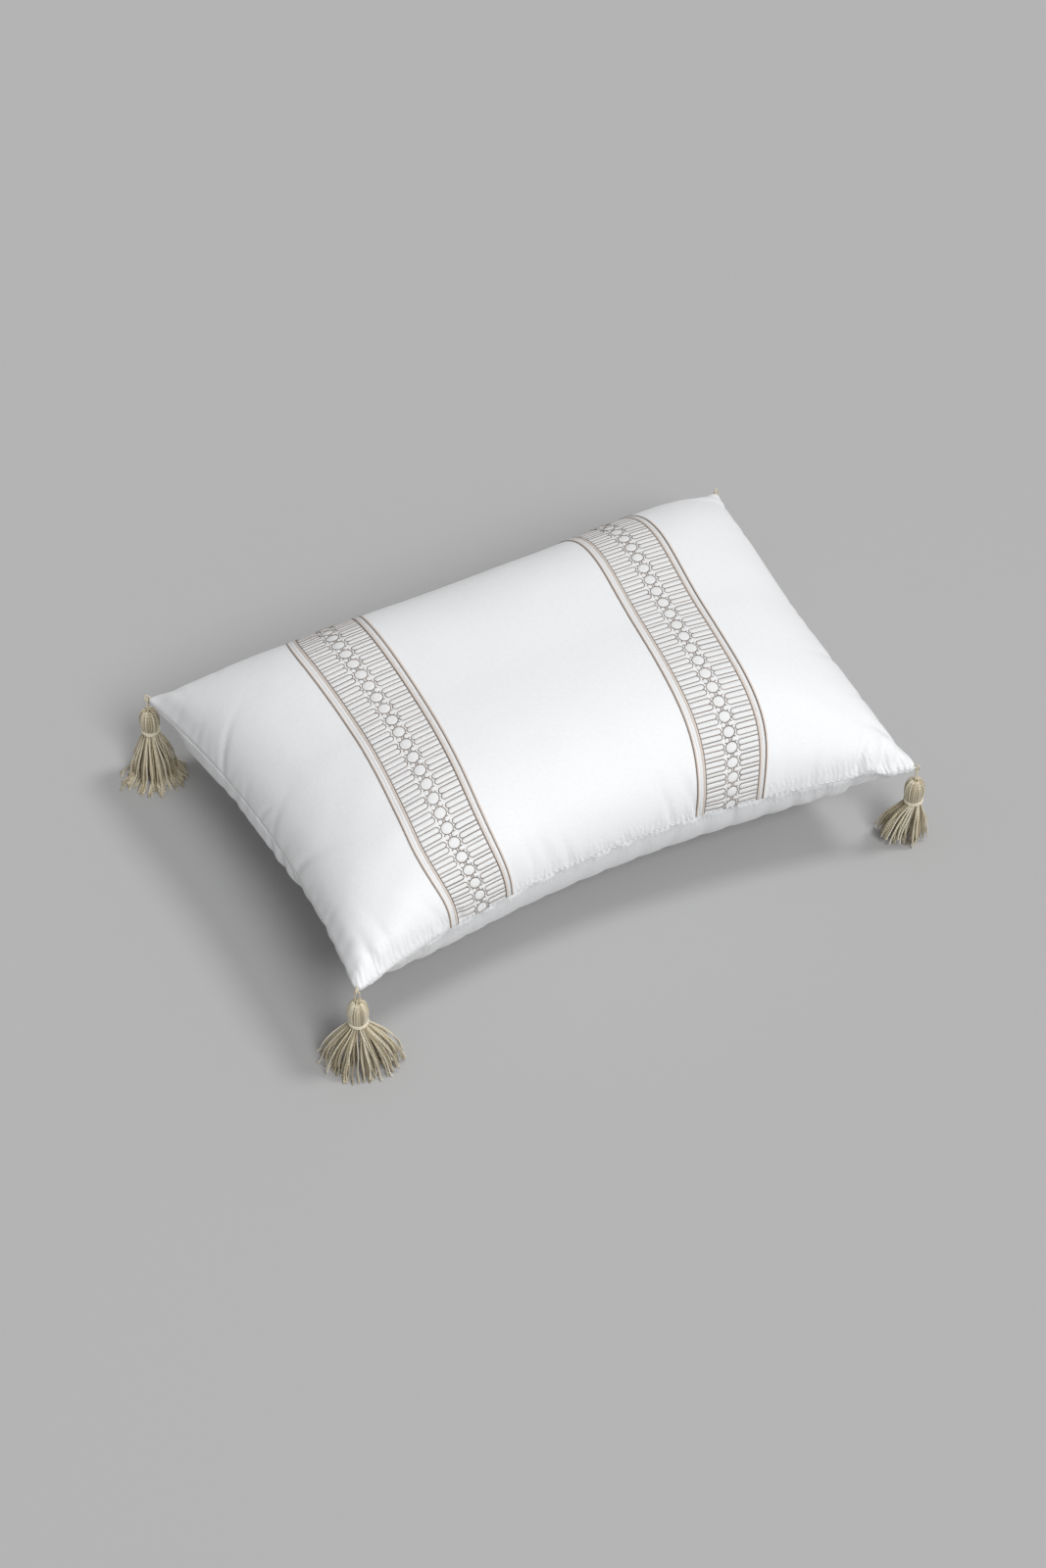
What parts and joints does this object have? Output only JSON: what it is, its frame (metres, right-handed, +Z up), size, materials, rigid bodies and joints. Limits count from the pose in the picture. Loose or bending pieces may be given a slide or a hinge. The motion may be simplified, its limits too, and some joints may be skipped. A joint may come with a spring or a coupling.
{
  "type": "throw pillow",
  "caption": "Rectangular lumbar throw pillow with a sateen cover, embroidered bands across it, a concealed zipper and a hanging tassel at each corner.",
  "frame": {"origin": "on the surface that the pillow lies on, under the middle of its outline", "axes": "+X along the long edges, +Y towards the far edge with the zipper, +Z up through the front panel"},
  "size_m": [0.559, 0.387, 0.16],
  "materials": {
    "cover_sateen": "smooth white sateen with a soft sheen",
    "insert_casing": "plain non-woven casing",
    "fibre_filling": "loose hollow-fibre filling",
    "embroidery_thread": "lustrous embroidery thread",
    "white_thread": "sewing thread",
    "tassel_yarn": "twisted cotton yarn",
    "zipper_tape": "knitted tape",
    "zipper_coil": "nylon coil",
    "zipper_metal": "white enamel",
    "label_cloth": "soft woven ribbon, left blank"
  },
  "bodies": {
    "cover": {"front_panel": "cover_sateen", "back_panel": "cover_sateen", "insert_casing_front": "insert_casing", "insert_casing_back": "insert_casing", "insert_filling": "fibre_filling", "left_band_outer_rails": "embroidery_thread", "left_band_inner_rails": "embroidery_thread", "left_band_ring_chain": "embroidery_thread", "left_band_bar_rows": "embroidery_thread", "right_band_outer_rails": "embroidery_thread", "right_band_inner_rails": "embroidery_thread", "right_band_ring_chain": "embroidery_thread", "right_band_bar_rows": "embroidery_thread", "near_seam_stitches": "white_thread", "zipper_tape_upper": "zipper_tape", "zipper_tape_lower": "zipper_tape", "zipper_coil_upper": "zipper_coil", "zipper_coil_lower": "zipper_coil", "zipper_top_stop": "zipper_metal", "zipper_bottom_stop": "zipper_metal", "front_left_corner_tack": "tassel_yarn", "front_right_corner_tack": "tassel_yarn", "rear_left_corner_tack": "tassel_yarn", "rear_right_corner_tack": "tassel_yarn"},
    "front_left_loop": {"front_left_tassel_loop": "tassel_yarn"},
    "front_left_tassel": {"front_left_tassel_head": "tassel_yarn", "front_left_neck_wrap": "tassel_yarn", "front_left_tassel_skirt": "tassel_yarn"},
    "front_right_loop": {"front_right_tassel_loop": "tassel_yarn"},
    "front_right_tassel": {"front_right_tassel_head": "tassel_yarn", "front_right_neck_wrap": "tassel_yarn", "front_right_tassel_skirt": "tassel_yarn"},
    "rear_left_loop": {"rear_left_tassel_loop": "tassel_yarn"},
    "rear_left_tassel": {"rear_left_tassel_head": "tassel_yarn", "rear_left_neck_wrap": "tassel_yarn", "rear_left_tassel_skirt": "tassel_yarn"},
    "rear_right_loop": {"rear_right_tassel_loop": "tassel_yarn"},
    "rear_right_tassel": {"rear_right_tassel_head": "tassel_yarn", "rear_right_neck_wrap": "tassel_yarn", "rear_right_tassel_skirt": "tassel_yarn"},
    "zipper_slider": {"zipper_slider": "zipper_metal"},
    "zipper_pull_tab": {"zipper_pull_tab": "zipper_metal"},
    "care_label": {"care_label": "label_cloth"}
  },
  "joints": [
    {"name": "front_left_loop_swing", "type": "hinge", "parent": "cover", "child": "front_left_loop", "pos_m": [-0.24251, -0.17351, 0.0771], "axis": [-0.7071, 0.7071, 0], "range_deg": [-18, 150]},
    {"name": "front_left_tassel_tilt", "type": "hinge", "parent": "front_left_loop", "child": "front_left_tassel", "pos_m": [-0.24251, -0.17351, 0.0658], "axis": [-0.7071, -0.7071, 0], "range_deg": [-35, 35]},
    {"name": "front_right_loop_swing", "type": "hinge", "parent": "cover", "child": "front_right_loop", "pos_m": [0.24251, -0.17351, 0.0771], "axis": [-0.7071, -0.7071, 0], "range_deg": [-18, 150]},
    {"name": "front_right_tassel_tilt", "type": "hinge", "parent": "front_right_loop", "child": "front_right_tassel", "pos_m": [0.24251, -0.17351, 0.0658], "axis": [0.7071, -0.7071, 0], "range_deg": [-35, 35]},
    {"name": "rear_left_loop_swing", "type": "hinge", "parent": "cover", "child": "rear_left_loop", "pos_m": [-0.25951, 0.17351, 0.0771], "axis": [0.7071, 0.7071, 0], "range_deg": [-18, 150]},
    {"name": "rear_left_tassel_tilt", "type": "hinge", "parent": "rear_left_loop", "child": "rear_left_tassel", "pos_m": [-0.25951, 0.17351, 0.0658], "axis": [-0.7071, 0.7071, 0], "range_deg": [-35, 35]},
    {"name": "rear_right_loop_swing", "type": "hinge", "parent": "cover", "child": "rear_right_loop", "pos_m": [0.25951, 0.17351, 0.0771], "axis": [0.7071, -0.7071, 0], "range_deg": [-18, 150]},
    {"name": "rear_right_tassel_tilt", "type": "hinge", "parent": "rear_right_loop", "child": "rear_right_tassel", "pos_m": [0.25951, 0.17351, 0.0658], "axis": [0.7071, 0.7071, 0], "range_deg": [-35, 35]},
    {"name": "zipper_slide", "type": "hinge", "parent": "cover", "child": "zipper_slider", "pos_m": [0, 1.18619, 0.078], "axis": [0, 0, -1], "range_deg": [0, 17.02]},
    {"name": "pull_tab_flip", "type": "hinge", "parent": "zipper_slider", "child": "zipper_pull_tab", "pos_m": [0.15395, 0.15756, 0.078], "axis": [0, 0, -1], "range_deg": [0, 175]},
    {"name": "care_label_lift", "type": "hinge", "parent": "cover", "child": "care_label", "pos_m": [-0.18785, 0.15924, 0.078], "axis": [0.9837, -0.1799, 0], "range_deg": [0, 120]}
  ]
}
